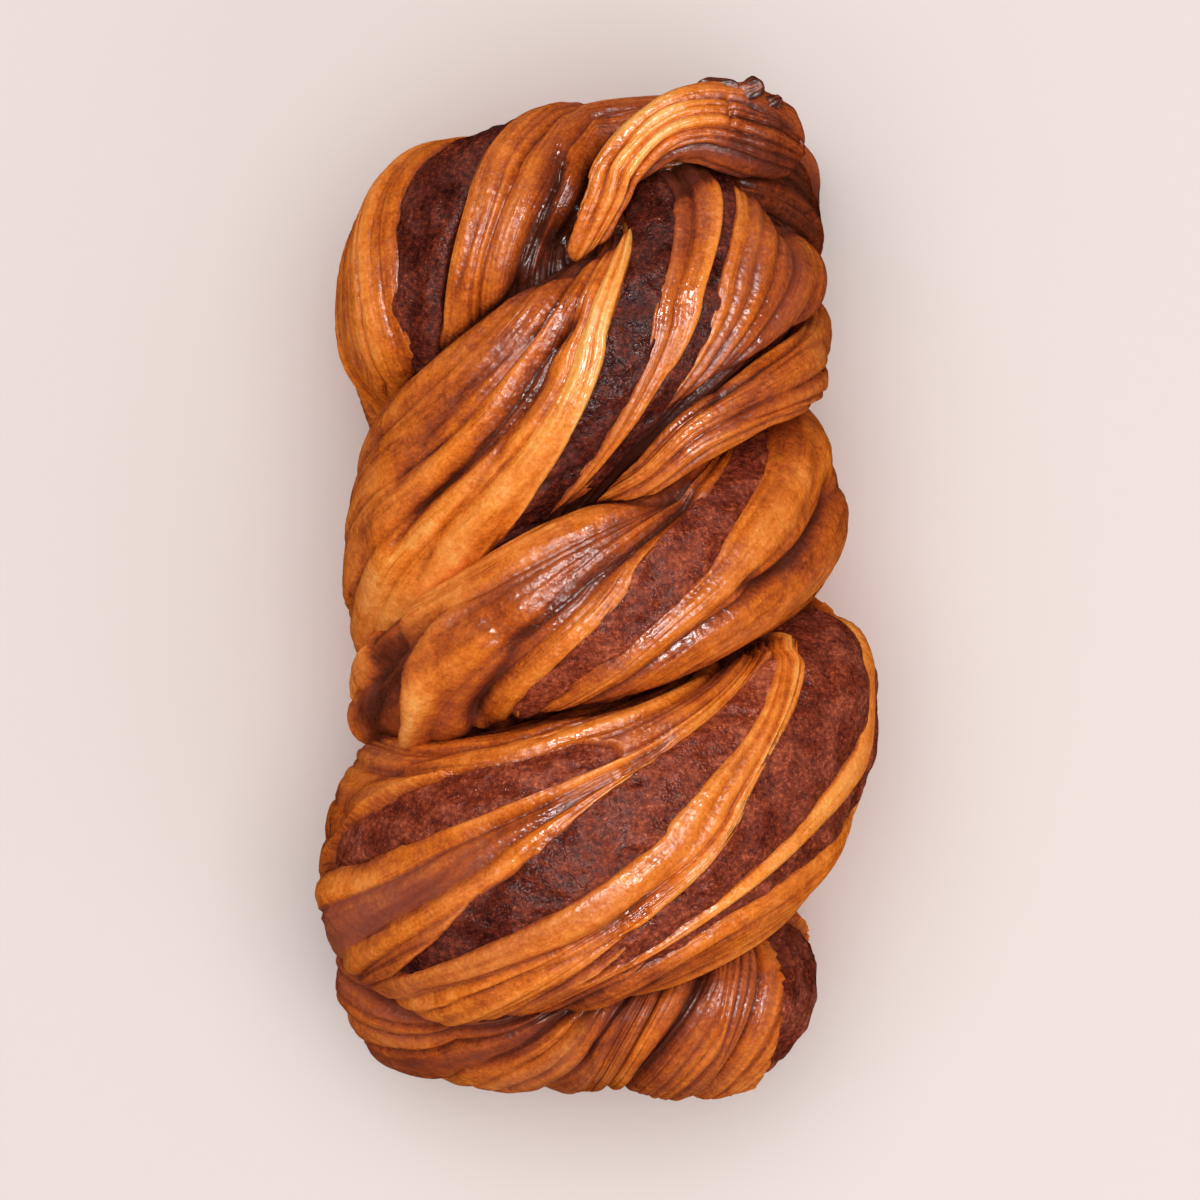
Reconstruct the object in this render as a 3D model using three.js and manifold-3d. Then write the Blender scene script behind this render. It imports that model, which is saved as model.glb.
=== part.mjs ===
// A cinnamon babka: a twisted loaf of dough strands, with layers of dark cinnamon filling that show
// where the strands were cut open. Millimetres, +Z up, +Y towards the tucked end of the twist,
// origin under the middle of the loaf.
import * as THREE from 'three';
import { mergeVertices } from 'three/addons/utils/BufferGeometryUtils.js';
import Module from 'manifold-3d';

const wasm = await Module();
wasm.setup();

// Middle of the twist: a level line that every strand bulges away from
const AXIS_HALF_LENGTH = 72;
const AXIS_HEIGHT = 34;

// Arch that the middle of a strand follows from the right side of the loaf over its crest to the left,
// and on down both sides to the base, where the strand ends. It slants less along the loaf down there.
const ARCH = { height: 40, halfWidth: 31, rise: 26, drop: 44, steep: 0.25, start: -40, end: 220, over: 0.14 };
const ARCH_MARKS = [10, 90, 170];
const SIDE_SLANT = 0.75;

// Loaf tin that pressed the lower sides flat, and the crumb that fills the middle of the loaf
const TIN = { halfWidth: 47, halfLength: 104, flare: 0.16, rim: 30, fade: 12, give: 0.2 };
const CRUMB = { halfWidth: 46, halfLength: 101, middle: 6, height: 34, corner: 3.4 };

// Section of a strand and its rounded ends, and the ridges of its layers: height as a share of width,
// greatest height, roundness, least angle, and the angle of the ridges that no row below gives
const SECTION_CORNER = 2.3;
const END_BLUNTNESS = 5;
const RIDGE = { share: 0.1, limit: 2.2, roundness: 0.7, least: 2, spare: 19 };

// Filling: how deep a layer reaches into the strand, how far it lies under the dough, and its clearance
const FILLING = { depth: 14, below: 0.4, corner: 5, bluntness: 6 };
const GAP = 0.3;
const GROOVE_OPENING = 6;

// Steps along a strand over which its direction and the slope of its layers are taken
const FRAME_STEP = 0.001;
const COURSE_STEP = 0.01;

// Facets round and along the crumb and a filling layer, and how much closer a strand's lie outside
const CRUMB_FACETS = [20, 14];
const FILLING_FACETS = [10, 12];
const CROWDING = 0.45;

// Shift that puts the origin under the middle of the whole loaf, and a block larger than the loaf
const CENTRE = { x: 0.23, y: -1.79 };
const BLOCK = 400;

// Glossy baked crust, and the duller dark filling
const DOUGH_LOOK = { color: 0xb8702c, roughness: 0.35, metalness: 0 };
const FILLING_LOOK = { color: 0x4a2826, roughness: 0.5, metalness: 0 };

// Strands that arch over the loaf, from the tucked end down. Rows of three give the right side, the
// crest and the left side: y of the strand's middle, half width across the top, half depth, and lift
// off the arch. A band row is a layer's lower edge in degrees round the section, at the three stations
// along the strand; 0 faces outwards and the angle grows towards the tucked end. A filling's row ends
// with the stretch of the strand on which it shows. Facets count round and along, and lay turns them.
const ARCHED_STRANDS = {
  head: {
    y: [84, 88, 68], half: [17, 20, 28], depth: [22, 17, 25], lift: [-2, -6, 0], tilt: 0,
    facets: [22, 26], lay: 0,
    stations: [0.5, 0.65, 0.8],
    bands: [
      ['dough', -60, -140, -210], ['dough', -12, -100, -170], ['dough', 20, -60, -130],
      ['dough', 50, -30, -95], ['filling', 100, 0, -65, [0.64, 0.81]], ['dough', 200, 85, -53],
      ['dough', 280, 175, 25], ['end', 360, 260, 100],
    ],
  },
  upper: {
    y: [76, 48, 10], half: [19, 24, 25], depth: [24, 24, 24], lift: [0, 0, 0], tilt: 8,
    facets: [28, 22], lay: 800,
    stations: [0.3, 0.5, 0.7],
    bands: [
      ['dough', -70, -112, -150], ['dough', -38, -90, -130], ['dough', -12, -76, -120],
      ['dough', 16, -65, -111], ['filling', 41, -56, -104, [0.24, 0.58]], ['dough', 50, -48, -98],
      ['filling', 93, -33, -92, [0.3, 0.72]], ['dough', 132, -10, -78], ['dough', 145, 6, -46],
      ['dough', 156, 17, -27], ['dough', 168, 32, -5], ['end', 185, 54, 22],
    ],
  },
  middle: {
    y: [17, -4, -24], half: [22, 22, 13], depth: [24, 24, 24], lift: [0, 0, 0], tilt: 12,
    facets: [30, 22], lay: 550,
    stations: [0.25, 0.45, 0.65],
    bands: [
      ['dough', -95, -130, -170], ['dough', -52, -90, -140], ['dough', -8, -48, -115],
      ['filling', 38, -25, -96, [0.14, 0.64]], ['dough', 58, 0, -84], ['dough', 65, 13, -59],
      ['dough', 70, 32, 8], ['end', 95, 70, 60],
    ],
  },
  broad: {
    y: [-36, -57, -64], half: [29, 32, 31], depth: [27, 26, 28], lift: [3, 0, 2], tilt: 8,
    facets: [34, 23], lay: 420,
    stations: [0.2, 0.45, 0.7],
    bands: [
      ['dough', -66, -78, -165], ['filling', -38, -52, -138, [0.12, 0.5]], ['dough', -5, -46, -116],
      ['filling', 0, -42, -111, [0.08, 0.54]], ['dough', 42, -28, -100], ['dough', 49, -20, -60],
      ['filling', 55, -4, -45, [0.22, 0.72]], ['dough', 60, 19, -30], ['dough', 62, 25, -14],
      ['filling', 66, 31, 6, [0.45, 0.82]], ['dough', 80, 46, 37], ['end', 104, 76, 64],
    ],
  },
};

// Strands that end on the loaf: rows of x, y, z, half width and half depth along the strand
const SHORT_STRANDS = {
  tuck: {
    facets: [18, 14], lay: 0,
    path: [
      [-9, 69, 60, 6, 8], [-3, 82, 70, 7.5, 8], [6, 93, 74, 8, 8], [15, 100, 73, 8.5, 8.5],
      [25, 102, 69, 9.5, 9.5], [33, 99, 63, 11.5, 11], [42, 96, 52, 10, 10],
    ],
    stations: [0.3, 0.5, 0.7],
    bands: [
      ['dough', -60, -56, -50], ['dough', -14, -12, -2], ['dough', 16, 12, 16],
      ['dough', 44, 36, 38], ['end', 76, 68, 70],
    ],
  },
  ply: {
    facets: [12, 14], lay: 0,
    path: [
      [40, 61, 15, 13, 9], [43, 55, 40, 12, 9], [41, 48, 60, 9.5, 9], [32, 41, 72, 7.5, 9],
      [20, 33, 77, 6.5, 8], [10, 24, 74, 5, 8], [-1, 17, 66, 4, 6],
    ],
    stations: [0.3, 0.5, 0.7],
    bands: [['dough', -60, -40, -30], ['dough', -10, 0, 5], ['end', 50, 50, 50]],
  },
  foot: {
    facets: [18, 24], lay: 0,
    path: [
      [-34, -72, 2, 22, 20], [-40, -84, 28, 20, 17], [-23, -93, 38, 24, 17], [0, -95, 37, 27, 17],
      [20, -95, 42, 21, 18], [31, -88, 30, 19, 18], [28, -76, 2, 22, 20],
    ],
    stations: [0.35, 0.5, 0.65],
    bands: [
      ['dough', -45, -120, -200], ['dough', -2, -78, -160], ['dough', 60, -35, -130],
      ['dough', 120, 20, -105], ['dough', 190, 85, -70], ['dough', 260, 150, 0],
      ['filling', 350, 235, 105, [0.74, 0.88]], ['end', 440, 325, 195],
    ],
  },
};

const radians = THREE.MathUtils.degToRad;

// Value at t of the parabola through three marks, carried on straight outside them at a share of its slope
function throughThree(marks, values, t, carry = 1) {
  const inside = THREE.MathUtils.clamp(t, marks[0], marks[2]);
  const [a, b, c] = marks;
  const [p, q, r] = values;
  const first = (q - p) / (b - a);
  const second = ((r - q) / (c - b) - first) / (c - a);
  const slope = first + second * (2 * inside - a - b);
  return p + first * (inside - a) + second * (inside - a) * (inside - b) + carry * slope * (t - inside);
}

// Value at t of the straight runs between three marks, level outside them
function alongThree(marks, values, t) {
  const [a, b, c] = marks;
  if (t < b) {
    return THREE.MathUtils.lerp(values[0], values[1], THREE.MathUtils.clamp((t - a) / (b - a), 0, 1));
  }
  return THREE.MathUtils.lerp(values[1], values[2], THREE.MathUtils.clamp((t - b) / (c - b), 0, 1));
}

// Middle of an arched strand at u, with its half width and half depth
function archedMiddle(strand, u) {
  const angle = ARCH.start + (ARCH.end - ARCH.start) * u;
  const lift = throughThree(ARCH_MARKS, strand.lift, angle);
  const [across, up] = [Math.cos(radians(angle)), Math.sin(radians(angle))];
  const spread = up > 0 ? across : Math.sign(across) * Math.abs(across) ** ARCH.steep;
  const middle = new THREE.Vector3(
    (ARCH.halfWidth + lift) * spread,
    throughThree(ARCH_MARKS, strand.y, angle, SIDE_SLANT),
    ARCH.height + (up > 0 ? ARCH.rise + lift : ARCH.drop) * up,
  );
  const half = alongThree(ARCH_MARKS, strand.half, angle);
  const depth = alongThree(ARCH_MARKS, strand.depth, angle);
  return { middle, half, depth, tilt: strand.tilt };
}

// Middle of a short strand at u, with its half width and half depth
function shortMiddle(strand, u) {
  const rows = strand.path;
  const place = u * (rows.length - 1);
  const index = Math.min(Math.floor(place), rows.length - 2);
  const [before, after] = [rows[index], rows[index + 1]];
  const half = THREE.MathUtils.lerp(before[3], after[3], place - index);
  const depth = THREE.MathUtils.lerp(before[4], after[4], place - index);
  return { middle: strand.curve.getPoint(u), half, depth, tilt: 0 };
}

// Frame of a strand at u: its middle and sizes, with the directions that face outwards and sideways
function frameAt(strand, u) {
  const middleAt = strand.path ? shortMiddle : archedMiddle;
  const frame = middleAt(strand, u);
  const start = strand.path ? Math.min(u, 1 - FRAME_STEP) : u;
  const along = middleAt(strand, start + FRAME_STEP).middle.sub(middleAt(strand, start).middle);
  const speed = along.length() / FRAME_STEP;
  along.normalize();
  const nearest = THREE.MathUtils.clamp(frame.middle.y, -AXIS_HALF_LENGTH, AXIS_HALF_LENGTH);
  const out = frame.middle.clone().sub(new THREE.Vector3(0, nearest, AXIS_HEIGHT));
  out.addScaledVector(along, -out.dot(along)).normalize();
  out.applyAxisAngle(along, radians(frame.tilt));
  const side = along.clone().cross(out);
  return { ...frame, out, side, speed };
}

// Sine or cosine of a boxier round, with fuller corners than a circle's
function rounded(value, corner) {
  return Math.sign(value) * Math.abs(value) ** (2 / corner);
}

// Share of the full size that is left near a blunt end, share 0 to 1 from end to end
function blunted(share, bluntness) {
  const reach = Math.min(Math.abs(2 * share - 1), 1);
  return (1 - reach ** bluntness) ** (1 / bluntness);
}

// The tin holds back what would bulge past its flared walls, below its rim
function pressedByTin(point) {
  const hold = 1 - THREE.MathUtils.smoothstep(point.z, TIN.rim - TIN.fade, TIN.rim + TIN.fade);
  const flare = TIN.flare * Math.max(point.z, 0);
  for (const [axis, reach] of [['x', TIN.halfWidth + flare], ['y', TIN.halfLength + flare]]) {
    const excess = Math.abs(point[axis]) - reach;
    if (excess > 0) {
      point[axis] -= Math.sign(point[axis]) * excess * hold * (1 - TIN.give);
    }
  }
  return point;
}

// Point of a strand's skin at u along it and angle round it, raised by height
function skinPoint(strand, u, angle, height) {
  const { middle, out, side, half, depth } = frameAt(strand, u);
  const beyond = strand.path ? 0 : ARCH.over;
  const end = blunted((u + beyond) / (1 + 2 * beyond), END_BLUNTNESS);
  const sideways = rounded(Math.sin(radians(angle)), SECTION_CORNER);
  const outwards = rounded(Math.cos(radians(angle)), SECTION_CORNER);
  const point = middle.clone();
  point.addScaledVector(side, end * (half + height) * sideways);
  point.addScaledVector(out, end * (depth + height) * outwards);
  return pressedByTin(point);
}

// Angles of a strand's band edges at u, each past the one before
function edgesAt(strand, u) {
  const edges = [];
  for (const [, ...angles] of strand.bands) {
    const angle = throughThree(strand.stations, angles, u);
    edges.push(edges.length ? Math.max(angle, edges.at(-1) + RIDGE.least) : angle);
  }
  return edges;
}

// Height of the pillow-shaped ridge of dough at an angle, nothing at the edges of its band
function ridgeHeight(strand, u, angle) {
  const edges = edgesAt(strand, u);
  const { half } = frameAt(strand, u);
  const band = edges.findIndex((edge, i) => angle >= edge && angle < edges[i + 1]);
  const start = band < 0 ? 0 : edges[band];
  const width = band < 0 ? RIDGE.spare : edges[band + 1] - start;
  const share = THREE.MathUtils.euclideanModulo(angle - start, width) / width;
  const height = Math.min(RIDGE.share * radians(width) * half, RIDGE.limit);
  return height * Math.sin(Math.PI * share) ** RIDGE.roundness;
}

// Closed solid from a unit sphere whose points are moved by place(u, angle), poles at the ends. Turning
// the sphere's angle round and its triangles with it makes their diagonals follow the twist.
function roundSolid(facets, place) {
  const sphere = new THREE.SphereGeometry(1, ...facets);
  sphere.deleteAttribute('normal');
  sphere.deleteAttribute('uv');
  const geometry = mergeVertices(sphere);
  const points = geometry.getAttribute('position');
  const unit = new THREE.Vector3();
  for (let i = 0; i < points.count; i += 1) {
    unit.fromBufferAttribute(points, i);
    const u = Math.acos(THREE.MathUtils.clamp(unit.y, -1, 1)) / Math.PI;
    const point = place(u, THREE.MathUtils.radToDeg(Math.atan2(-unit.z, unit.x)));
    points.setXYZ(i, point.x, point.y, point.z);
  }
  geometry.getIndex().array.reverse();
  return solidOf(geometry);
}

function solidOf(geometry) {
  const vertProperties = geometry.getAttribute('position').array;
  const triVerts = new Uint32Array(geometry.getIndex().array);
  return new wasm.Manifold(new wasm.Mesh({ numProp: 3, vertProperties, triVerts }));
}

// A strand whose facets lie closer together on its outer side and run along its layers
function strandSolid(strand, extra) {
  const beyond = strand.path ? 0 : ARCH.over;
  return roundSolid(strand.facets, (share, turn) => {
    const u = share * (1 + 2 * beyond) - beyond;
    const laid = radians(turn - strand.lay * (u - 0.5));
    const angle = THREE.MathUtils.radToDeg(laid - CROWDING * Math.sin(laid));
    const wrapped = THREE.MathUtils.euclideanModulo(angle + 180, 360) - 180;
    return skinPoint(strand, u, wrapped, ridgeHeight(strand, u, wrapped) + extra);
  });
}

// Course of one band over a strand's skin at u: its middle, half width square to its run, and slope
function courseAt(strand, band, u) {
  const [lower, upper] = edgesAt(strand, u).slice(band, band + 2);
  const [lowerAhead, upperAhead] = edgesAt(strand, u + COURSE_STEP).slice(band, band + 2);
  const { half, speed } = frameAt(strand, u);
  const rise = radians(lowerAhead + upperAhead - lower - upper) / 2 / COURSE_STEP;
  const slope = rise * half / speed;
  const wide = half * radians(upper - lower) / 2 / Math.hypot(1, slope);
  return { angle: (lower + upper) / 2, wide, slope, half, speed };
}

// A layer of filling along one band of a strand; extra makes the wider, open groove that holds it
function fillingSolid(strand, band, [start, end], extra) {
  const middle = -FILLING.below - FILLING.depth / 2;
  return roundSolid(FILLING_FACETS, (along, turn) => {
    const u = THREE.MathUtils.lerp(start, end, along);
    const { angle, wide, slope, half, speed } = courseAt(strand, band, u);
    const taper = blunted(along, FILLING.bluntness);
    const sideways = rounded(Math.sin(radians(turn)), FILLING.corner);
    const up = rounded(Math.cos(radians(turn)), FILLING.corner);
    const reach = FILLING.depth / 2 + (extra && up > 0 ? GROOVE_OPENING : extra);
    const height = middle + up * reach;
    const clearance = extra * half / (half + height);
    const across = sideways * (taper * wide + clearance) / Math.hypot(1, slope);
    const lengthways = clearance * (2 * along - 1) / Math.hypot(1, slope);
    const place = u + (lengthways - slope * across) / speed;
    const round = angle + THREE.MathUtils.radToDeg((across + slope * lengthways) / half);
    return skinPoint(strand, place, round, height);
  });
}

function largestPiece(solid) {
  return solid.decompose().reduce((best, piece) => (piece.volume() > best.volume() ? piece : best));
}

// Crumb under and between the strands: a rounded block that the strands lie on
function crumbSolid() {
  return roundSolid(CRUMB_FACETS, (u, turn) => {
    const ring = rounded(Math.sin(Math.PI * u), CRUMB.corner);
    return new THREE.Vector3(
      CRUMB.halfWidth * ring * rounded(Math.sin(radians(turn)), CRUMB.corner),
      -CRUMB.halfLength * rounded(Math.cos(Math.PI * u), CRUMB.corner),
      CRUMB.middle + CRUMB.height * ring * rounded(Math.cos(radians(turn)), CRUMB.corner),
    );
  });
}

// Everything below the flat underside
function belowBase() {
  const block = new THREE.BoxGeometry(BLOCK, BLOCK, BLOCK);
  block.translate(0, 0, -BLOCK / 2);
  block.deleteAttribute('normal');
  block.deleteAttribute('uv');
  return solidOf(mergeVertices(block));
}

function meshOf(name, solid, look) {
  const { vertProperties, triVerts } = solid.getMesh();
  const geometry = new THREE.BufferGeometry();
  geometry.setAttribute('position', new THREE.BufferAttribute(vertProperties, 3));
  geometry.setIndex(new THREE.BufferAttribute(triVerts, 1));
  geometry.computeVertexNormals();
  const mesh = new THREE.Mesh(geometry, new THREE.MeshStandardMaterial(look));
  mesh.name = name;
  return mesh;
}

for (const strand of Object.values(SHORT_STRANDS)) {
  const points = strand.path.map(([x, y, z]) => new THREE.Vector3(x, y, z));
  strand.curve = new THREE.CatmullRomCurve3(points, false, 'catmullrom');
}
const strands = [...Object.values(ARCHED_STRANDS), ...Object.values(SHORT_STRANDS)];

// All strands but one, joined and grown by extra
function othersThan(strand, extra) {
  const solids = strands.filter((other) => other !== strand).map((other) => strandSolid(other, extra));
  return solids.reduce((whole, solid) => whole.add(solid));
}

const loaf = new THREE.Group();
let dough = strands.reduce((whole, strand) => whole.add(strandSolid(strand, 0)), crumbSolid());
for (const strand of strands) {
  for (const [band, [kind, , , , stretch]] of strand.bands.entries()) {
    if (kind === 'filling') {
      const layer = fillingSolid(strand, band, stretch, 0).subtract(othersThan(strand, GAP));
      const groove = fillingSolid(strand, band, stretch, GAP).subtract(othersThan(strand, 0));
      dough = dough.subtract(largestPiece(groove));
      loaf.add(meshOf(`filling_${loaf.children.length + 1}`, largestPiece(layer), FILLING_LOOK));
    }
  }
}
dough = largestPiece(dough.subtract(belowBase()));
loaf.add(meshOf('dough', dough, DOUGH_LOOK));
loaf.position.set(-CENTRE.x, -CENTRE.y, 0);

export default loaf;
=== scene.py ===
import math

import bmesh
import bpy
import numpy as np
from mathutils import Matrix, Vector


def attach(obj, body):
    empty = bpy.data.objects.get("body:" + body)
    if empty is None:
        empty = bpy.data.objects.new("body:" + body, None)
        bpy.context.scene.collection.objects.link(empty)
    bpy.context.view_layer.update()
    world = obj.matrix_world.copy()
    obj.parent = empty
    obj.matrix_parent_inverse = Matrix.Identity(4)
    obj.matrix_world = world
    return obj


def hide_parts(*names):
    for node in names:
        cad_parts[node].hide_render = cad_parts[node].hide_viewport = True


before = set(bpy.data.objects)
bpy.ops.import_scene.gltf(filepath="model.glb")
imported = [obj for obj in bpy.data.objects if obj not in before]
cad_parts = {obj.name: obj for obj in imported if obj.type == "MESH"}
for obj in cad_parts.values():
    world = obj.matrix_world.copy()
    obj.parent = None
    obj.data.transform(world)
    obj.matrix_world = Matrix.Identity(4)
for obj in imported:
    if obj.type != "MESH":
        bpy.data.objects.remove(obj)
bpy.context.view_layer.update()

# Crumb
# The soft middle of the loaf, under and between the strands. It is the same enriched dough as they are,
# baked together with them in one tin, and it shows low on the sides and ends, where the strands part.
MM = 0.001
LOAF_CENTRE = np.array([0.23, -1.79, 0.0])
CRUMB_HALF_WIDTH, CRUMB_HALF_LENGTH = 46.0, 101.0
CRUMB_MIDDLE, CRUMB_HEIGHT = 6.0, 34.0
CRUMB_CORNER = 3.4
CRUMB_MESH = (220, 160)
CRUMB_SEED, CRUMB_FOLD_WIDTH, CRUMB_FOLD_HEIGHT, CRUMB_UNEVEN = 50, 5.0, 20.0, 0.05
CRUMB_BASE = 0.0
CRUMB_TONE, CRUMB_TONE_RANGE = 0.44, 0.3
GRID_DIGITS = 6
SEAM_REACH = 0.000002
LATTICE_SIZE = 256


def rounded(value, corner):
    """Sine or cosine of a boxier round, with fuller corners than a circle's."""
    return np.sign(value) * np.abs(value) ** (2 / corner)


def round_mesh(name, rings, columns):
    """A sheet that will close into a skin, with each point's share along it and its turn round it."""
    bm = bmesh.new()
    bmesh.ops.create_grid(bm, x_segments=columns, y_segments=rings, size=1.0)
    mesh = bpy.data.meshes.new(name)
    bm.to_mesh(mesh)
    bm.free()
    flat = np.empty(len(mesh.vertices) * 3)
    mesh.vertices.foreach_get("co", flat)
    x, y, _ = np.round(flat.reshape(-1, 3).T, GRID_DIGITS)
    return mesh, (y + 1) / 2, np.pi * np.where(x == 1, -1, x)


def placed(mesh, points, base=None, **marks):
    """Moves a mesh to points in millimetres, cuts it flat at the base and keeps the marks on its points."""
    mesh.vertices.foreach_set("co", ((points - LOAF_CENTRE) * MM).ravel())
    for mark, values in marks.items():
        layer = mesh.attributes.new(mark, "FLOAT", "POINT")
        layer.data.foreach_set("value", values.astype(np.float32))
    bm = bmesh.new()
    bm.from_mesh(mesh)
    bmesh.ops.remove_doubles(bm, verts=[vert for vert in bm.verts if vert.is_boundary], dist=SEAM_REACH)
    if base is not None:
        everything = bm.verts[:] + bm.edges[:] + bm.faces[:]
        cut = bmesh.ops.bisect_plane(
            bm, geom=everything, plane_co=(0, 0, base * MM), plane_no=(0, 0, 1), clear_inner=True,
        )
        rim = [part for part in cut["geom_cut"] if isinstance(part, bmesh.types.BMEdge)]
        bmesh.ops.holes_fill(bm, edges=rim, sides=0)
    bmesh.ops.recalc_face_normals(bm, faces=bm.faces[:])
    bm.to_mesh(mesh)
    bm.free()
    mesh.shade_smooth()
    piece = bpy.data.objects.new(mesh.name, mesh)
    bpy.context.scene.collection.objects.link(piece)
    return piece


def eased(s):
    """A share from 0 to 1 that starts and ends gently."""
    return s * s * (3 - 2 * s)


def lattice(seed, across, along):
    """Smooth unevenness from 0 to 1 over two coordinates, one bump for each unit."""
    table = np.random.default_rng(seed).random((LATTICE_SIZE, LATTICE_SIZE))
    column, row = np.floor(across).astype(int), np.floor(along).astype(int)
    right, ahead = eased(across - column), eased(along - row)
    here, beside = column % LATTICE_SIZE, (column + 1) % LATTICE_SIZE
    near, far = (
        table[here, line] * (1 - right) + table[beside, line] * right
        for line in (row % LATTICE_SIZE, (row + 1) % LATTICE_SIZE)
    )
    return near * (1 - ahead) + far * ahead


def math_node(tree, operation, *values):
    """A math node on values that are each a number or another node's output."""
    node = tree.nodes.new("ShaderNodeMath")
    node.operation = operation
    for place, value in zip(node.inputs, values):
        if isinstance(value, bpy.types.NodeSocket):
            tree.links.new(value, place)
        else:
            place.default_value = value
    return node.outputs["Value"]


def clamped(tree, operation, *values):
    """A math node whose result stays between 0 and 1."""
    output = math_node(tree, operation, *values)
    output.node.use_clamp = True
    return output


def mark_node(tree, name):
    """A mark that was kept on the points of a mesh."""
    node = tree.nodes.new("ShaderNodeAttribute")
    node.attribute_name = name
    return node.outputs["Fac"]


def noise_node(tree, scale, detail, vector):
    """Cloudy noise from 0 to 1."""
    node = tree.nodes.new("ShaderNodeTexNoise")
    node.inputs["Scale"].default_value = scale
    node.inputs["Detail"].default_value = detail
    tree.links.new(vector, node.inputs["Vector"])
    return node.outputs["Fac"]


def uneven_tone(tree, *parts):
    """The tone marked on the points, varied by textures that each have a weight."""
    tone = mark_node(tree, "tone")
    for texture, weight in parts:
        centred = math_node(tree, "SUBTRACT", texture, 0.5)
        tone = math_node(tree, "MULTIPLY_ADD", centred, weight, tone)
    return tone


def toned(tree, tones, value):
    """Colour of a tone from 0 to 1 in a row of tones."""
    ramp = tree.nodes.new("ShaderNodeValToRGB")
    while len(ramp.color_ramp.elements) < len(tones):
        ramp.color_ramp.elements.new(0.5)
    for stop, (place, colour) in zip(ramp.color_ramp.elements, tones):
        stop.position = place
        stop.color = (*colour, 1.0)
    tree.links.new(value, ramp.inputs["Fac"])
    return ramp.outputs["Color"]


def bumped(tree, shader, height, strength, depth):
    """Small roughness of a surface, with its depth in millimetres."""
    bump = tree.nodes.new("ShaderNodeBump")
    bump.inputs["Strength"].default_value = strength
    bump.inputs["Distance"].default_value = depth * MM
    tree.links.new(height, bump.inputs["Height"])
    tree.links.new(bump.outputs["Normal"], shader.inputs["Normal"])


STREAK_NOISE = (1.0, 4.0)


def streak_group():
    """Streaks along the strands: lay counts millimetres across a strand, and run along it."""
    group = bpy.data.node_groups.new("dough streaks", "ShaderNodeTree")
    for name in ("Across", "Along"):
        group.interface.new_socket(name=name, in_out="INPUT", socket_type="NodeSocketFloat")
    group.interface.new_socket(name="Streak", in_out="OUTPUT", socket_type="NodeSocketFloat")
    entry, leave = group.nodes.new("NodeGroupInput"), group.nodes.new("NodeGroupOutput")
    join = group.nodes.new("ShaderNodeCombineXYZ")
    for mark, scale, axis in (("lay", "Across", "X"), ("run", "Along", "Y")):
        scaled = math_node(group, "MULTIPLY", mark_node(group, mark), entry.outputs[scale])
        group.links.new(scaled, join.inputs[axis])
    group.links.new(noise_node(group, *STREAK_NOISE, join.outputs["Vector"]), leave.inputs["Streak"])
    return group


STREAKS = streak_group()
BAND_STREAK = (0.3, 0.02)
FIBRE_STREAK, FIBRE_LIMIT, FIBRE_CONTRAST = (0.8, 0.07), 0.07, 7.0
HAIR_STREAK, HAIR_LIMIT, HAIR_CONTRAST = (1.9, 0.05), 0.09, 9.0
BLOTCH_NOISE, MOTTLE_NOISE, PEBBLE_NOISE = (110.0, 2.0), (380.0, 5.0), (1250.0, 3.0)
SPECK_NOISE, DIMPLE_NOISE, SYRUP_NOISE = (2000.0, 1.0), (520.0, 1.0), (70.0, 4.0)
BAND_TONE, BLOTCH_TONE, MOTTLE_TONE, PEBBLE_TONE, SPECK_TONE = 0.18, 0.4, 0.36, 0.36, 0.28
LINE_TONE, PAINTED_GLEAM_TONE, HAIR_TONE = 0.18, -0.1, 0.2
DRY_CONTRAST, DRY_SHIFT = 4.0, -1.5
WET_CONTRAST, WET_SHIFT = 4.0, -1.6
DRY_ROUGHNESS, WET_SMOOTHING = 0.4, -0.26
CRUST_SPECULAR = 0.5
CRUST_GLOW, CRUST_GLOW_RADIUS, CRUST_GLOW_DEPTH = 0.35, (1.0, 0.4, 0.15), 1.5
CRUST_BUMP, CRUST_BUMP_DEPTH, PEBBLE_BUMP, LINE_BUMP = 0.8, 0.5, 0.3, -0.3
CRUST_TONES = (
    (0.00, (1.00, 0.50, 0.13)),
    (0.20, (0.94, 0.31, 0.050)),
    (0.40, (0.74, 0.18, 0.013)),
    (0.60, (0.46, 0.086, 0.009)),
    (0.80, (0.22, 0.034, 0.007)),
    (1.00, (0.080, 0.015, 0.006)),
)
STAIN_COLOUR = (0.32, 0.072, 0.040, 1.0)


def streak_node(tree, across, along):
    """Streaks with their fineness across and along a strand."""
    node = tree.nodes.new("ShaderNodeGroup")
    node.node_tree = STREAKS
    node.inputs["Across"].default_value = across
    node.inputs["Along"].default_value = along
    return node.outputs["Streak"]


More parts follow.
